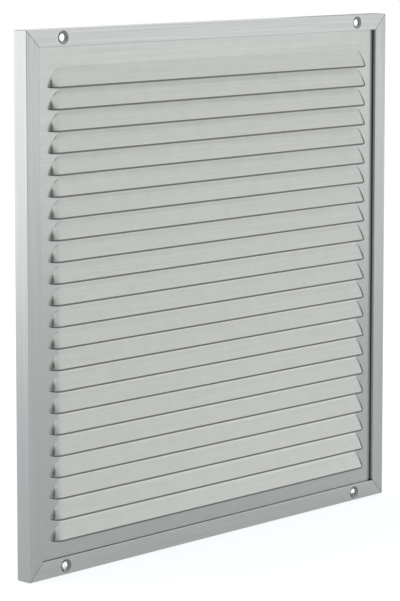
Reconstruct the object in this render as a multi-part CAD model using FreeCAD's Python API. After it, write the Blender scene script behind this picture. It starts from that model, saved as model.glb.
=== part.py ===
import FreeCAD, Part
import math
import os

# Square louvred grille: a mitred aluminium frame round one pressed louvre sheet.
# Millimetres. The front faces -Y and +Z is up. The origin is the centre of the four screw holes, on the
# back face of the frame's flange, where the screws come out.

# Outside size
grille_width = 400.0
grille_height = 400.0

# Frame section, measured inwards from the outer edge and back from the front face
frame_depth = 13.2
face_width = 12.7
flange_thickness = 2.0
leg_thickness = 1.5
web_thickness = 0.9
rear_lip_thickness = 1.2
arris_radius = 0.4
mitre_gap = 0.3

# Groove that holds the louvre sheet
sheet_thickness = 1.0
panel_recess = 2.9
shadow_gap_depth = 1.5
sheet_grip = 0.9
sheet_play = 0.1
sheet_edge_gap = 0.2

# Countersunk screw holes in the two rails
screw_hole_diameter = 5.8
countersink_diameter = 10.2
countersink_angle = 120.0
screw_from_side = 36.2
screw_inset = 6.3

# Corner keys, pressed into the channel behind the mitres
key_arm = 24.0
key_thickness = 2.0
key_clearance = 0.15
key_chamfer = 1.5

# Louvres, pressed forward and open at the bottom; the height runs from the slit to the corner of the bend
louvre_pitch = 15.8
louvre_height = 14.2
louvre_bend_radius = 3.0
louvre_reach = 5.5
louvre_end_sweep = 14.0
louvre_end_cap = 6.8
end_cap_bands = 4
louvre_top_margin = 15.5
louvre_bottom_margin = 12.0
louvre_side_margin = 11.7

# The bends run this far past the faces of the sheet, so that they cross them cleanly
bend_sink = 0.02

# Places that follow from the sizes above
slot_bottom = face_width - shadow_gap_depth - sheet_grip
shoulder = face_width - shadow_gap_depth
web_outer = slot_bottom - web_thickness
sheet_back = panel_recess + sheet_thickness
slot_front = panel_recess - sheet_play
sheet_inset = slot_bottom + sheet_edge_gap
louvre_slope = math.atan2(louvre_reach, louvre_height)
louvre_swell = louvre_height + louvre_bend_radius * math.tan(louvre_slope / 2)
louvre_half_length = grille_width / 2 - face_width - louvre_side_margin
first_slit = grille_height / 2 - face_width - louvre_top_margin - louvre_height
last_slit_limit = louvre_bottom_margin + face_width - grille_height / 2
louvre_count = int((first_slit - last_slit_limit) / louvre_pitch) + 1


def rounded_wire(corners):
    """Closed wire through corners given as (point, radius)."""
    ends = []
    for index, (point, radius) in enumerate(corners):
        towards_last = (corners[index - 1][0] - point).normalize()
        towards_next = (corners[(index + 1) % len(corners)][0] - point).normalize()
        half_angle = towards_last.getAngle(towards_next) / 2
        setback = radius / math.tan(half_angle)
        bisector = (towards_last + towards_next).normalize()
        middle = point + bisector * (radius / math.sin(half_angle) - radius)
        ends.append((point + towards_last * setback, middle, point + towards_next * setback, radius))
    edges = []
    for index, (start, middle, end, radius) in enumerate(ends):
        if radius > 0:
            edges.append(Part.Arc(start, middle, end).toShape())
        next_start = ends[(index + 1) % len(ends)][0]
        edges.append(Part.LineSegment(end, next_start).toShape())
    return Part.Wire(edges)


# Frame

def frame_section(x):
    """The extruded section in the plane at x: inwards is +Z and backwards is +Y."""
    outline = [
        (0, 0, arris_radius),
        (face_width, 0, arris_radius),
        (face_width, flange_thickness, 0),
        (shoulder, flange_thickness, 0),
        (shoulder, slot_front, 0),
        (slot_bottom, slot_front, 0),
        (slot_bottom, sheet_back, 0),
        (face_width, sheet_back, 0),
        (face_width, sheet_back + rear_lip_thickness, 0),
        (web_outer, sheet_back + rear_lip_thickness, 0),
        (web_outer, flange_thickness, 0),
        (leg_thickness, flange_thickness, 0),
        (leg_thickness, frame_depth, 0),
        (0, frame_depth, 0),
    ]
    corners = [(FreeCAD.Vector(x, back, inwards), radius) for inwards, back, radius in outline]
    return Part.Face(rounded_wire(corners))


def frame_member(length):
    """A mitred length of the section along X, with its outer edge at Z = 0."""
    bar = frame_section(-length / 2).extrude(FreeCAD.Vector(length, 0, 0))
    outer = length / 2 - mitre_gap * math.sqrt(0.5)
    inner = outer - face_width
    front_view = [
        FreeCAD.Vector(-outer, 0, 0),
        FreeCAD.Vector(outer, 0, 0),
        FreeCAD.Vector(inner, 0, face_width),
        FreeCAD.Vector(-inner, 0, face_width),
        FreeCAD.Vector(-outer, 0, 0),
    ]
    mitred = Part.Face(Part.makePolygon(front_view)).extrude(FreeCAD.Vector(0, frame_depth, 0))
    return bar.common(mitred)


def screw_hole(x):
    """Cutter for one countersunk hole through the flange of a rail."""
    hole_radius = screw_hole_diameter / 2
    sink_radius = countersink_diameter / 2
    sink_depth = (sink_radius - hole_radius) / math.tan(math.radians(countersink_angle / 2))
    centre = FreeCAD.Vector(x, 0, screw_inset)
    backwards = FreeCAD.Vector(0, 1, 0)
    shank = Part.makeCylinder(hole_radius, flange_thickness, centre, backwards)
    sink = Part.makeCone(sink_radius, hole_radius, sink_depth, centre, backwards)
    return shank.fuse(sink)


def rail():
    """A top or bottom member with its two screw holes."""
    member = frame_member(grille_width)
    for side in (-1, 1):
        member = member.cut(screw_hole(side * (grille_width / 2 - screw_from_side)))
    return member


def placed(shape, turn, x, z):
    """A copy turned about the front-to-back axis, then moved to x and z."""
    copy = shape.copy()
    copy.rotate(FreeCAD.Vector(0, 0, 0), FreeCAD.Vector(0, 1, 0), turn)
    copy.translate(FreeCAD.Vector(x, 0, z))
    return copy


def corner_key():
    """Flat L cleat that lies in the channel behind a mitre, with the outer corner at X = Z = 0."""
    near = leg_thickness + key_clearance
    far = web_outer - key_clearance
    front_view = [
        (near + key_chamfer, near),
        (key_arm, near),
        (key_arm, far),
        (far, far),
        (far, key_arm),
        (near, key_arm),
        (near, near + key_chamfer),
        (near + key_chamfer, near),
    ]
    outline = Part.makePolygon([FreeCAD.Vector(x, flange_thickness, z) for x, z in front_view])
    return Part.Face(outline).extrude(FreeCAD.Vector(0, key_thickness, 0))


# Louvre sheet
# One louvre is worked out with its slit at Z = 0, and depth counts back from the front of the sheet.

def quarter_ellipse(start, corner, end):
    """Exact quarter ellipse from start to end, tangent to the lines that meet at corner."""
    curve = Part.BezierCurve()
    curve.setPoles([start, corner, end])
    curve.setWeight(2, math.sqrt(0.5))
    return curve.toShape()


def end_outline(inset, depth):
    """Front view of a louvre, straight along the slit and swept round at both ends."""
    half = louvre_half_length - inset
    y = panel_recess + depth
    right_end = FreeCAD.Vector(half, y, 0)
    right_corner = FreeCAD.Vector(half, y, louvre_swell)
    top_right = FreeCAD.Vector(half - louvre_end_sweep, y, louvre_swell)
    top_left = FreeCAD.Vector(louvre_end_sweep - half, y, louvre_swell)
    left_corner = FreeCAD.Vector(-half, y, louvre_swell)
    left_end = FreeCAD.Vector(-half, y, 0)
    return Part.Wire([
        quarter_ellipse(right_end, right_corner, top_right),
        Part.LineSegment(top_right, top_left).toShape(),
        quarter_ellipse(top_left, left_corner, left_end),
        Part.LineSegment(left_end, right_end).toShape(),
    ])


def louvre_section(skin, crest, base):
    """Side view of the solid under one skin: the slope up from the slit and the bend into the sheet."""
    x = -louvre_half_length
    radius = louvre_bend_radius + skin

    def bend_point(angle):
        height = louvre_bend_radius - radius * math.cos(angle) - bend_sink
        return FreeCAD.Vector(x, panel_recess - height, louvre_swell - radius * math.sin(angle))

    foot, middle, slope_end = [bend_point(louvre_slope * share) for share in (0, 0.5, 1)]
    run_end = foot + FreeCAD.Vector(0, 0, sheet_thickness)
    lip = FreeCAD.Vector(x, panel_recess - crest, 0)
    base_bottom = FreeCAD.Vector(x, panel_recess - base, 0)
    base_top = FreeCAD.Vector(x, panel_recess - base, run_end.z)
    edges = [Part.Arc(foot, middle, slope_end).toShape()]
    corners = [slope_end, lip, base_bottom, base_top, run_end, foot]
    for start, end in zip(corners, corners[1:]):
        edges.append(Part.LineSegment(start, end).toShape())
    return Part.Face(Part.Wire(edges))


def louvre_form(skin):
    """Solid under one skin of a louvre, skin being its distance in from the outer skin."""
    crest = louvre_reach - skin / math.cos(louvre_slope)
    base = -skin - sheet_thickness / 2
    prism = louvre_section(skin, crest, base).extrude(FreeCAD.Vector(2 * louvre_half_length, 0, 0))
    outlines = [end_outline(skin, -base)]
    for band in range(end_cap_bands + 1):
        angle = math.radians(90) * band / end_cap_bands
        inset = louvre_end_cap - (louvre_end_cap - skin) * math.cos(angle)
        outlines.append(end_outline(inset, -crest * math.sin(angle)))
    ends = Part.makeLoft(outlines, True, True)
    return prism.common(ends)


def louvre_row(form):
    """The form repeated at every slit, from the top down."""
    row = []
    for index in range(louvre_count):
        row.append(placed(form, 0, 0, first_slit - index * louvre_pitch))
    return row


def louvre_panel():
    """The whole sheet: each louvre is added as a solid swell and then hollowed from behind."""
    width = grille_width - 2 * sheet_inset
    height = grille_height - 2 * sheet_inset
    corner = FreeCAD.Vector(-width / 2, panel_recess, -height / 2)
    sheet = Part.makeBox(width, sheet_thickness, height, corner)
    swells = louvre_row(louvre_form(0))
    hollows = louvre_row(louvre_form(sheet_thickness))
    return sheet.fuse(swells).cut(hollows)


# The nine pieces in place

right = grille_width / 2
top = grille_height / 2
stile = frame_member(grille_height)
key = corner_key()
nodes = {
    "top_rail": placed(rail(), 180, 0, top),
    "bottom_rail": placed(rail(), 0, 0, -top),
    "left_stile": placed(stile, 90, -right, 0),
    "right_stile": placed(stile, -90, right, 0),
    "louvre_panel": louvre_panel(),
    "corner_key_bottom_left": placed(key, 0, -right, -top),
    "corner_key_bottom_right": placed(key, -90, right, -top),
    "corner_key_top_right": placed(key, 180, right, top),
    "corner_key_top_left": placed(key, 90, -right, top),
}

os.makedirs("parts", exist_ok=True)
for name, shape in nodes.items():
    shape.translate(FreeCAD.Vector(0, -flange_thickness, 0))
    solid = shape.removeSplitter().Solids[0]
    solid.exportStep("parts/" + name + ".step")
    print(name, "valid", solid.isValid(), "volume", round(solid.Volume, 1), "faces", len(solid.Faces))
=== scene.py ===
import bpy
import math
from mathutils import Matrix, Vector


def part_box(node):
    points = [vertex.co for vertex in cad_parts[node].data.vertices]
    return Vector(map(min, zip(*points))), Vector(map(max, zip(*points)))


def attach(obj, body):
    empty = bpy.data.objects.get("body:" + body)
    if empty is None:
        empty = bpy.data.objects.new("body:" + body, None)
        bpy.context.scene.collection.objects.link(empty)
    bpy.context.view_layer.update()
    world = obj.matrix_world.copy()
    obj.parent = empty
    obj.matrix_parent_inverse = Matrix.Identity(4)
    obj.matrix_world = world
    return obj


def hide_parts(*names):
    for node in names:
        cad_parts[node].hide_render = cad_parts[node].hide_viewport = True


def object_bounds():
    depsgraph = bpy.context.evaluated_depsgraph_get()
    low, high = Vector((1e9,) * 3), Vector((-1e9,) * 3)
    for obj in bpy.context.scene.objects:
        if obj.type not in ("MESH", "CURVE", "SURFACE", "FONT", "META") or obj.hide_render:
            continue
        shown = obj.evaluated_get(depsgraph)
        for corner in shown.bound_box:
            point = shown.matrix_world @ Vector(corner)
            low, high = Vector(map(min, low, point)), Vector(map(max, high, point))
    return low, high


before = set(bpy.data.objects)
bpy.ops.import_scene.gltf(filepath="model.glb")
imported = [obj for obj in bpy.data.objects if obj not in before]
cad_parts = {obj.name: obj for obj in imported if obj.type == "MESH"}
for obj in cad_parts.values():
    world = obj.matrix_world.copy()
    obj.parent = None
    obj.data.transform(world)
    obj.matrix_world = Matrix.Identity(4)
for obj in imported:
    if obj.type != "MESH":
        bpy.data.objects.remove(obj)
cad_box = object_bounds()

# Frame: two rails and two stiles of extruded aluminium, mitred at the corners, with a
# countersunk screw hole near each end of the rails. The lengths are satin anodised, and the
# fine lines that the die leaves run along each of them.

# The rails' tones are set lighter than the stiles' as painted light; both take the same anodising.
rail_light = "#CCCFCB"
rail_dark = "#C4C7C5"
stile_light = "#C5C8C5"
stile_dark = "#BCC0BE"
die_line_width = 0.0012
die_line_length = 0.12
die_line_depth = 0.00005
noise_low, noise_high = 0.35, 0.65
dull_satin, bright_satin = 0.31, 0.26
screw_place = (0.1638, 0.0, 0.1937)
countersink_radius = 0.00508
hole_back = -0.0001
cone_end, bore_start = -0.0008, -0.0007
# The cone's colour is set darker than bare aluminium as painted shade in the countersink; the colour below
# it is painted shade inside the hole.
bare_cone_shaded_colour = "#8E9192"
painted_hole_shade = "#232423"
bare_roughness = 0.14


def linear(code):
    """sRGB hex as linear RGBA."""
    values = [int(code[i:i + 2], 16) / 255 for i in (1, 3, 5)]
    return [v / 12.92 if v <= 0.04045 else ((v + 0.055) / 1.055) ** 2.4 for v in values] + [1.0]


def add(tree, kind, inputs=None, **settings):
    """Add a node: settings are its properties, inputs are values or the sockets linked to it."""
    made = tree.nodes.new(kind)
    for name, value in settings.items():
        setattr(made, name, value)
    for name, value in (inputs or {}).items():
        if isinstance(value, bpy.types.NodeSocket):
            tree.links.new(value, made.inputs[name])
        else:
            made.inputs[name].default_value = value
    return made


def new_material(name):
    """An empty node material and its tree."""
    material = bpy.data.materials.new(name)
    material.use_nodes = True
    material.node_tree.nodes.clear()
    return material, material.node_tree


def anodised_extrusion(name, along, light, dark):
    """Satin anodised aluminium with die lines along axis 0 or 2, drawn about a millimetre wide to show.

    The screw holes are sunk after anodising, so that the cone in them is bare and shinier; its colour
    is set darker as painted shade in the countersink, and the hole below it is painted shade, near black.
    """
    material, tree = new_material(name)
    scale = [1 / die_line_width] * 3
    scale[along] = 1 / die_line_length
    place = add(tree, "ShaderNodeTexCoord")
    stretched = add(tree, "ShaderNodeMapping", {"Vector": place.outputs["Object"], "Scale": scale})
    lines = add(tree, "ShaderNodeTexNoise", {
        "Vector": stretched.outputs["Vector"], "Scale": 1.0, "Detail": 3.0, "Roughness": 0.6,
    })
    tone = add(tree, "ShaderNodeMapRange", {
        "Value": lines.outputs["Fac"], "From Min": noise_low, "From Max": noise_high,
    })
    colour = add(tree, "ShaderNodeMix", {
        0: tone.outputs["Result"], 6: linear(dark), 7: linear(light),
    }, data_type="RGBA")
    satin = add(tree, "ShaderNodeMapRange", {
        "Value": lines.outputs["Fac"], "From Min": noise_low, "From Max": noise_high,
        "To Min": dull_satin, "To Max": bright_satin,
    })
    folded = add(tree, "ShaderNodeVectorMath", {0: place.outputs["Object"]}, operation="ABSOLUTE")
    from_screw = add(tree, "ShaderNodeVectorMath", {
        0: folded.outputs[0], 1: (1, 0, 1), 2: [-value for value in screw_place],
    }, operation="MULTIPLY_ADD")
    away = add(tree, "ShaderNodeVectorMath", {0: from_screw.outputs[0]}, operation="LENGTH")
    within = add(tree, "ShaderNodeMath", {
        0: away.outputs["Value"], 1: countersink_radius,
    }, operation="LESS_THAN")
    depth = add(tree, "ShaderNodeSeparateXYZ", {0: place.outputs["Object"]})
    in_front = add(tree, "ShaderNodeMath", {0: depth.outputs["Y"], 1: hole_back}, operation="LESS_THAN")
    sunk = add(tree, "ShaderNodeMath", {0: within.outputs[0], 1: in_front.outputs[0]}, operation="MULTIPLY")
    # Past the cone, the sunk hole takes the painted shade colour.
    hole_shade_share = add(tree, "ShaderNodeMapRange", {
        "Value": depth.outputs["Y"], "From Min": cone_end, "From Max": bore_start,
    })
    cone_and_hole_shade = add(tree, "ShaderNodeMix", {
        0: hole_shade_share.outputs["Result"], 6: linear(bare_cone_shaded_colour), 7: linear(painted_hole_shade),
    }, data_type="RGBA")
    colour = add(tree, "ShaderNodeMix", {
        0: sunk.outputs[0], 6: colour.outputs[2], 7: cone_and_hole_shade.outputs[2],
    }, data_type="RGBA")
    satin = add(tree, "ShaderNodeMix", {
        0: sunk.outputs[0], 2: satin.outputs["Result"], 3: bare_roughness,
    }, data_type="FLOAT")
    relief = add(tree, "ShaderNodeBump", {
        "Height": lines.outputs["Fac"], "Strength": 0.2, "Distance": die_line_depth,
    })
    surface = add(tree, "ShaderNodeBsdfPrincipled", {
        "Base Color": colour.outputs[2],
        "Roughness": satin.outputs[0],
        "Normal": relief.outputs["Normal"],
        "Metallic": 1.0,
    })
    add(tree, "ShaderNodeOutputMaterial", {"Surface": surface.outputs["BSDF"]})
    return material


def finish(node, material):
    """Give a part its material."""
    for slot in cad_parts[node].material_slots:
        slot.material = material


rail_aluminium = anodised_extrusion("anodised aluminium, rails", 0, rail_light, rail_dark)
stile_aluminium = anodised_extrusion("anodised aluminium, stiles", 2, stile_light, stile_dark)
finish("top_rail", rail_aluminium)
finish("bottom_rail", rail_aluminium)
finish("left_stile", stile_aluminium)
finish("right_stile", stile_aluminium)

# Corner keys: flat L cleats pressed into the channel behind each mitre. They are cut from
# bare aluminium plate, greyer and duller than the anodised lengths round them.

mill_light = "#B0B1B3"
mill_dark = "#9A9B9E"
mill_grain = 0.003
cloud_low, cloud_high = 0.3, 0.7
handled_roughness, clean_roughness = 0.38, 0.55


def mill_aluminium():
    """Bare plate straight from the mill, clouded where it was handled."""
    material, tree = new_material("mill finish aluminium")
    place = add(tree, "ShaderNodeTexCoord")
    clouds = add(tree, "ShaderNodeTexNoise", {
        "Vector": place.outputs["Object"], "Scale": 1 / mill_grain, "Detail": 5.0,
    })
    colour = add(tree, "ShaderNodeMix", {
        0: clouds.outputs["Fac"], 6: linear(mill_dark), 7: linear(mill_light),
    }, data_type="RGBA")
    dull = add(tree, "ShaderNodeMapRange", {
        "Value": clouds.outputs["Fac"], "From Min": cloud_low, "From Max": cloud_high,
        "To Min": handled_roughness, "To Max": clean_roughness,
    })
    surface = add(tree, "ShaderNodeBsdfPrincipled", {
        "Base Color": colour.outputs[2],
        "Roughness": dull.outputs["Result"],
        "Metallic": 1.0,
    })
    add(tree, "ShaderNodeOutputMaterial", {"Surface": surface.outputs["BSDF"]})
    return material


plate = mill_aluminium()
for corner in ("bottom_left", "bottom_right", "top_right", "top_left"):
    finish("corner_key_" + corner, plate)

# Louvre sheet: one aluminium sheet with the louvres pressed forward through slits, so that
# each is a sloping face with a rounded end at either side and an open slit below. It is satin
# anodised after pressing, which leaves an even, faintly clouded bloom.

sheet_thickness = 0.001
louvre_count = 22
louvre_pitch = 0.0158
first_slit = 0.1576
louvre_half_length = 0.1756
louvre_height = 0.0137
bend_radius = 0.01
end_sweep = 0.014
end_cap = 0.0068
foot_bend = 0.001
corner_radius = 0.0015
lip_radius = 0.0006
lip_steps = (0, 0.00003, 0.0001, 0.00022, 0.0004, 0.0006, 0.0012)
shaded_lip_rows = len(lip_steps) - 1
rise_steps = 18
cap_steps = 18
row_gap = 0.0001
crease_angle = math.radians(50)

sheet_low, sheet_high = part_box("louvre_panel")
sheet_front = sheet_high[1] - sheet_thickness
reach = sheet_front - sheet_low[1]
slope = math.atan2(reach, louvre_height)
swell = louvre_height + bend_radius * math.tan(slope / 2)


def slope_rise(skin, z):
    """How far a skin of the louvre stands out from its own flat, z above the slit."""
    radius = bend_radius + skin
    if z > swell - radius * math.sin(slope):
        return radius - math.sqrt(max(radius ** 2 - (swell - z) ** 2, 0))
    drop = 0
    if skin == 0 and z < lip_radius:
        drop = lip_radius - math.sqrt(lip_radius ** 2 - (lip_radius - z) ** 2)
    return reach - skin / math.cos(slope) - z * math.tan(slope) + skin - drop


def end_outline(turn):
    """How far from the middle a louvre ends, turn running from the slit to its top."""
    tucked = max(corner_radius - swell * math.sin(turn), 0)
    tuck = corner_radius - math.sqrt(corner_radius ** 2 - tucked ** 2)
    return louvre_half_length - tuck - end_sweep * (1 - math.cos(turn))


def skin_point(skin, turn, share, side):
    """A point of a louvre, share running from its outline to full height."""
    z = swell * math.sin(turn)
    outline = end_outline(turn) - skin
    cap = end_cap - skin
    foot = min(share * cap / (foot_bend * (1 + math.sin(turn))), 1)
    rise = math.sqrt(1 - (1 - share) ** 2) * foot ** 2 * (3 - 2 * foot)
    height = slope_rise(skin, z) * rise - skin
    if turn == 0:
        z = -min(skin * math.sin(slope) * rise, max(height, 0))
    return Vector((side * (outline - share * cap), sheet_front - height, z))


def louvre_sheet():
    """Both skins as rows of points, from the bottom of the sheet up, joined round every edge."""
    points, faces, shaded_lip_faces = [], [], []
    shares = [1 - math.cos(math.pi / 2 * step / cap_steps) for step in range(cap_steps + 1)]
    turns = [math.asin(z / swell) for z in lip_steps]
    lip_top = turns[-1]
    turns += [lip_top + (math.pi / 2 - lip_top) * (step + 1) / rise_steps for step in range(rise_steps)]

    def flat_row(skin, z, outline):
        """A row in the flat of the sheet whose points line up with those of a louvre row."""
        y = sheet_front + skin
        cap = end_cap - skin
        half = [sheet_high[0], outline - skin + row_gap]
        half += [outline - skin - share * cap for share in shares]
        return [Vector((-x, y, z)) for x in half] + [Vector((x, y, z)) for x in reversed(half)]

    def louvre_row(skin, turn):
        """A row across a louvre, flat outside its outline."""
        row = flat_row(skin, swell * math.sin(turn), end_outline(turn))
        for step, share in enumerate(shares):
            row[step + 2] = skin_point(skin, turn, share, -1)
            row[-3 - step] = skin_point(skin, turn, share, 1)
        return row

    columns = 2 * (len(shares) + 2)
    skins = []
    for skin in (0, sheet_thickness):
        rows = [flat_row(skin, sheet_low[2], louvre_half_length)]
        slits = []
        for index in reversed(range(louvre_count)):
            slit = first_slit - index * louvre_pitch
            flat = flat_row(skin, 0, end_outline(0))
            slits.append(len(rows))
            rows.append([point + Vector((0, 0, slit)) for point in flat])
            for turn in turns:
                row = louvre_row(skin, turn)
                rows.append([point + Vector((0, 0, slit)) for point in row])
            top = flat_row(skin, swell + row_gap, end_outline(math.pi / 2))
            rows.append([point + Vector((0, 0, slit)) for point in top])
        rows.append(flat_row(skin, sheet_high[2], louvre_half_length))
        # The two rows at a slit share their points past its ends, so that it closes there.
        numbers = []
        for r, row in enumerate(rows):
            line = []
            for c, point in enumerate(row):
                ends = c <= 2 or c >= columns - 3
                if r - 1 in slits and ends:
                    line.append(numbers[r - 1][c])
                else:
                    line.append(len(points))
                    points.append(point)
            numbers.append(line)
        skins.append((numbers, slits))

    def quad(a, b, c, d):
        """A face, or a triangle where two of its corners are one point."""
        corners = [n for i, n in enumerate((a, b, c, d)) if n != (a, b, c, d)[i - 1]]
        if len(corners) > 2:
            faces.append(corners)

    # Each slit keeps its two cut faces, and the lowest rows of the louvre above it take the sheared-edge
    # colours, painted dark as the shade under the lip.
    front, slits = skins[0]
    back = skins[1][0]
    for r in range(len(front) - 1):
        if r in slits:
            for row in (r, r + 1):
                for c in range(2, columns - 3):
                    edge = (front[row][c], front[row][c + 1], back[row][c + 1], back[row][c])
                    quad(*(edge if row == r else reversed(edge)))
        else:
            first = len(faces)
            for c in range(columns - 1):
                quad(front[r][c], front[r][c + 1], front[r + 1][c + 1], front[r + 1][c])
            if 0 < r - max([slit for slit in slits if slit < r], default=r) <= shaded_lip_rows:
                shaded_lip_faces += range(first + 2, len(faces) - 2)
            for c in range(columns - 1):
                quad(back[r][c], back[r + 1][c], back[r + 1][c + 1], back[r][c + 1])

    # The four outer edges of the sheet.
    last = len(front) - 1
    for c in range(columns - 1):
        quad(front[0][c + 1], front[0][c], back[0][c], back[0][c + 1])
        quad(front[last][c], front[last][c + 1], back[last][c + 1], back[last][c])
    for r in range(last):
        if r not in slits:
            quad(front[r][0], front[r + 1][0], back[r + 1][0], back[r][0])
            quad(front[r + 1][-1], front[r][-1], back[r][-1], back[r + 1][-1])
    mesh = bpy.data.meshes.new("pressed louvre sheet")
    mesh.from_pydata(points, [], faces)
    # These faces take the sheared-edge colours, which paint the shade under the lip.
    for number in shaded_lip_faces:
        mesh.polygons[number].material_index = 1
    mesh.validate()
    return mesh


sheet_light = "#C5C7C4"
sheet_dark = "#C0C2BE"
roll_line_width = 0.0016
roll_line_length = 0.09
roll_line_depth = 0.00003
bloom_size = 0.012
bloom_share = 0.4
dull_sheet, bright_sheet = 0.26, 0.22


def anodised_sheet():
    """Satin anodising on rolled sheet: soft streaks along it, drawn wide to show, and a wide faint bloom."""
    material, tree = new_material("anodised aluminium, sheet")
    place = add(tree, "ShaderNodeTexCoord")
    rolled = add(tree, "ShaderNodeMapping", {
        "Vector": place.outputs["Object"],
        "Scale": (1 / roll_line_length, 1 / roll_line_width, 1 / roll_line_width),
    })
    streaks = add(tree, "ShaderNodeTexNoise", {
        "Vector": rolled.outputs["Vector"], "Scale": 1.0, "Detail": 3.0, "Roughness": 0.6,
    })
    bloom = add(tree, "ShaderNodeTexNoise", {
        "Vector": place.outputs["Object"], "Scale": 1 / bloom_size, "Detail": 3.0,
    })
    clouded = add(tree, "ShaderNodeMix", {
        0: bloom_share, 2: streaks.outputs["Fac"], 3: bloom.outputs["Fac"],
    }, data_type="FLOAT")
    tone = add(tree, "ShaderNodeMapRange", {
        "Value": clouded.outputs[0], "From Min": noise_low, "From Max": noise_high,
    })
    colour = add(tree, "ShaderNodeMix", {
        0: tone.outputs["Result"], 6: linear(sheet_dark), 7: linear(sheet_light),
    }, data_type="RGBA")
    satin = add(tree, "ShaderNodeMapRange", {
        "Value": clouded.outputs[0], "From Min": noise_low, "From Max": noise_high,
        "To Min": dull_sheet, "To Max": bright_sheet,
    })
    relief = add(tree, "ShaderNodeBump", {
        "Height": streaks.outputs["Fac"], "Strength": 0.08, "Distance": roll_line_depth,
    })
    surface = add(tree, "ShaderNodeBsdfPrincipled", {
        "Base Color": colour.outputs[2],
        "Roughness": satin.outputs["Result"],
        "Normal": relief.outputs["Normal"],
        "Metallic": 1.0,
    })
    add(tree, "ShaderNodeOutputMaterial", {"Surface": surface.outputs["BSDF"]})
    return material


# The sheared edge's colours are set dark as painted shade under each lip.
shaded_edge_light = "#868885"
shaded_edge_dark = "#6E706E"
edge_roughness = 0.5
tear_size = 0.0007
tear_depth = 0.00005


def sheared_edge_and_shade():
    """Lowest band of a louvre, torn and rolled over where the press tool sheared it: greyer and duller, and
    darkened as painted shade under the lip.
    """
    material, tree = new_material("sheared aluminium edge and painted shade")
    place = add(tree, "ShaderNodeTexCoord")
    tears = add(tree, "ShaderNodeTexNoise", {
        "Vector": place.outputs["Object"], "Scale": 1 / tear_size, "Detail": 3.0,
    })
    colour = add(tree, "ShaderNodeMix", {
        0: tears.outputs["Fac"], 6: linear(shaded_edge_dark), 7: linear(shaded_edge_light),
    }, data_type="RGBA")
    relief = add(tree, "ShaderNodeBump", {
        "Height": tears.outputs["Fac"], "Strength": 0.2, "Distance": tear_depth,
    })
    surface = add(tree, "ShaderNodeBsdfPrincipled", {
        "Base Color": colour.outputs[2],
        "Roughness": edge_roughness,
        "Normal": relief.outputs["Normal"],
        "Metallic": 1.0,
    })
    add(tree, "ShaderNodeOutputMaterial", {"Surface": surface.outputs["BSDF"]})
    return material


sheet = bpy.data.objects.new("louvre_sheet", louvre_sheet())
bpy.context.scene.collection.objects.link(sheet)
sheet.data.materials.append(anodised_sheet())
sheet.data.materials.append(sheared_edge_and_shade())
bpy.context.view_layer.objects.active = sheet
sheet.select_set(True)
bpy.ops.object.shade_smooth_by_angle(angle=crease_angle)
sheet.select_set(False)
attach(sheet, "root")
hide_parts("louvre_panel")

# Floor and surround: a pale floor that the grille stands on, and white all round it. Both
# reach the metal too, so that it shows them, and the floor keeps the grille's shadow.

floor_size = 12.0
floor_colour = "#BBC0C5"
room_light = 0.7
floor_glow = 0.69
floor_glow_in_metal = 0.34


def seen_by(tree):
    """One where a camera, glossy or transmitted ray looks, and nothing for the light itself."""
    path = add(tree, "ShaderNodeLightPath")
    direct = add(tree, "ShaderNodeMath", {
        0: path.outputs["Is Camera Ray"], 1: path.outputs["Is Glossy Ray"],
    }, operation="ADD")
    return add(tree, "ShaderNodeMath", {
        0: direct.outputs[0], 1: path.outputs["Is Transmission Ray"],
    }, operation="ADD", use_clamp=True)


bpy.ops.mesh.primitive_plane_add(size=floor_size, location=(0, 0, cad_box[0][2]))
floor = bpy.context.object
floor.name = "floor"
material, tree = new_material("pale floor")
path = add(tree, "ShaderNodeLightPath")
mirrored = add(tree, "ShaderNodeMath", {
    0: path.outputs["Is Glossy Ray"], 1: path.outputs["Is Transmission Ray"],
}, operation="ADD")
mirrored = add(tree, "ShaderNodeMath", {
    0: mirrored.outputs[0], 1: floor_glow_in_metal,
}, operation="MULTIPLY")
glow = add(tree, "ShaderNodeMath", {
    0: path.outputs["Is Camera Ray"], 1: floor_glow, 2: mirrored.outputs[0],
}, operation="MULTIPLY_ADD")
lit = add(tree, "ShaderNodeBsdfDiffuse", {"Color": linear(floor_colour)})
shine = add(tree, "ShaderNodeEmission", {"Strength": glow.outputs[0]})
both = add(tree, "ShaderNodeAddShader", {0: lit.outputs[0], 1: shine.outputs[0]})
add(tree, "ShaderNodeOutputMaterial", {"Surface": both.outputs[0]})
floor.data.materials.append(material)

world = bpy.data.worlds.new("white surround")
world.use_nodes = True
bpy.context.scene.world = world
tree = world.node_tree
tree.nodes.clear()
light = add(tree, "ShaderNodeBackground", {"Strength": room_light})
white = add(tree, "ShaderNodeBackground", {"Strength": 1.0})
for background in (light, white):
    background.inputs["Color"].default_value = linear("#FFFFFF")
chosen = add(tree, "ShaderNodeMixShader", {
    0: seen_by(tree).outputs[0], 1: light.outputs[0], 2: white.outputs[0],
})
add(tree, "ShaderNodeOutputWorld", {"Surface": chosen.outputs[0]})

# Lamps and cards: soft boxes behind on the left and in front, a wall that shades from grey to
# white round the front, and a grey card at the right, so that the metal's bends read.


def facing_centre(thing, bearing, height, distance):
    """Stand a thing off the grille, bearing in degrees from its front towards the right."""
    turn = math.radians(bearing)
    thing.location = (distance * math.sin(turn), -distance * math.cos(turn), height)
    thing.rotation_euler = (-thing.location).to_track_quat("-Z", "Y").to_euler()


def soft_box(name, bearing, height, distance, width, tall, radiance):
    """A rectangular area lamp; its power follows from how bright its face is."""
    lamp = bpy.data.lights.new(name, "AREA")
    lamp.shape = "RECTANGLE"
    lamp.size = width
    lamp.size_y = tall
    lamp.energy = radiance * math.pi * width * tall
    box = bpy.data.objects.new(name, lamp)
    bpy.context.scene.collection.objects.link(box)
    facing_centre(box, bearing, height, distance)
    box.visible_camera = False


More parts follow.
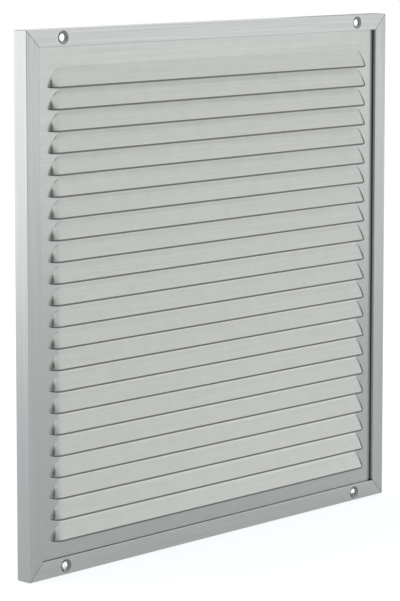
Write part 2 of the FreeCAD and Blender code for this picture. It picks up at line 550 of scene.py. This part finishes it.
def card(name, bearing, height, distance, width, tall, grey):
    """A flat card that only reflections see."""
    mesh = bpy.data.meshes.new(name)
    x, y = width / 2, tall / 2
    mesh.from_pydata([(-x, -y, 0), (x, -y, 0), (x, y, 0), (-x, y, 0)], [], [(0, 1, 2, 3)])
    board = bpy.data.objects.new(name, mesh)
    bpy.context.scene.collection.objects.link(board)
    facing_centre(board, bearing, height, distance)
    material, tree = new_material(name)
    shade = add(tree, "ShaderNodeEmission", {"Color": linear(grey), "Strength": 1.0})
    add(tree, "ShaderNodeOutputMaterial", {"Surface": shade.outputs[0]})
    mesh.materials.append(material)
    board.visible_camera = False
    board.visible_diffuse = False
    board.visible_shadow = False


soft_box("soft box behind left", bearing=-133, height=0.20, distance=1.4, width=1.2, tall=0.8, radiance=0.75)
soft_box(
    "low soft box, front right", bearing=46, height=-0.02, distance=1.5, width=1.4, tall=0.36, radiance=0.24,
)
card("card at the right", bearing=102, height=0.1, distance=2.0, width=2.1, tall=1.2, grey="#707070")

wall_distance = 3.0
wall_low = cad_box[0][2]
wall_high = 2.2
wall_start = math.radians(-100)
wall_end = math.radians(50)
wall_steps = 24
wall_grey = "#8C8C8C"
grey_until = math.radians(-75)

points, faces = [], []
for step in range(wall_steps + 1):
    bearing = wall_start + (wall_end - wall_start) * step / wall_steps
    x, y = wall_distance * math.sin(bearing), -wall_distance * math.cos(bearing)
    points += [(x, y, wall_low), (x, y, wall_high)]
for step in range(wall_steps):
    faces.append([2 * step + corner for corner in (0, 1, 3, 2)])
mesh = bpy.data.meshes.new("shaded wall")
mesh.from_pydata(points, [], faces)
wall = bpy.data.objects.new("shaded wall", mesh)
bpy.context.scene.collection.objects.link(wall)
material, tree = new_material("shaded wall")
place = add(tree, "ShaderNodeTexCoord")
parts = add(tree, "ShaderNodeSeparateXYZ", {0: place.outputs["Object"]})
forward = add(tree, "ShaderNodeMath", {0: parts.outputs["Y"], 1: -1.0}, operation="MULTIPLY")
bearing = add(tree, "ShaderNodeMath", {
    0: parts.outputs["X"], 1: forward.outputs[0],
}, operation="ARCTAN2")
share = add(tree, "ShaderNodeMapRange", {
    "Value": bearing.outputs[0], "From Min": grey_until, "From Max": wall_end,
})
shade = add(tree, "ShaderNodeMix", {
    0: share.outputs["Result"], 6: linear(wall_grey), 7: linear("#FFFFFF"),
}, data_type="RGBA")
glow = add(tree, "ShaderNodeEmission", {"Color": shade.outputs[2], "Strength": 1.0})
add(tree, "ShaderNodeOutputMaterial", {"Surface": glow.outputs[0]})
mesh.materials.append(material)
wall.visible_camera = False
wall.visible_diffuse = False
wall.visible_shadow = False

# Camera: the photograph's view, from the front left and a little above the grille. It is level
# side to side and tilts slightly down, and the shift frames the grille.

camera_place = (-1.4336, -1.3399, 0.2867)
camera_tilt = math.radians(90 - 6.075)
camera_turn = math.radians(-46.55)
camera_data = bpy.data.cameras.new("camera")
camera_data.sensor_width = 36.0
camera_data.lens = 153.74
camera_data.shift_y = -0.2
camera = bpy.data.objects.new("camera", camera_data)
camera.location = camera_place
camera.rotation_euler = (camera_tilt, 0, camera_turn)
bpy.context.scene.collection.objects.link(camera)
bpy.context.scene.camera = camera
bpy.context.scene.view_settings.view_transform = "Standard"
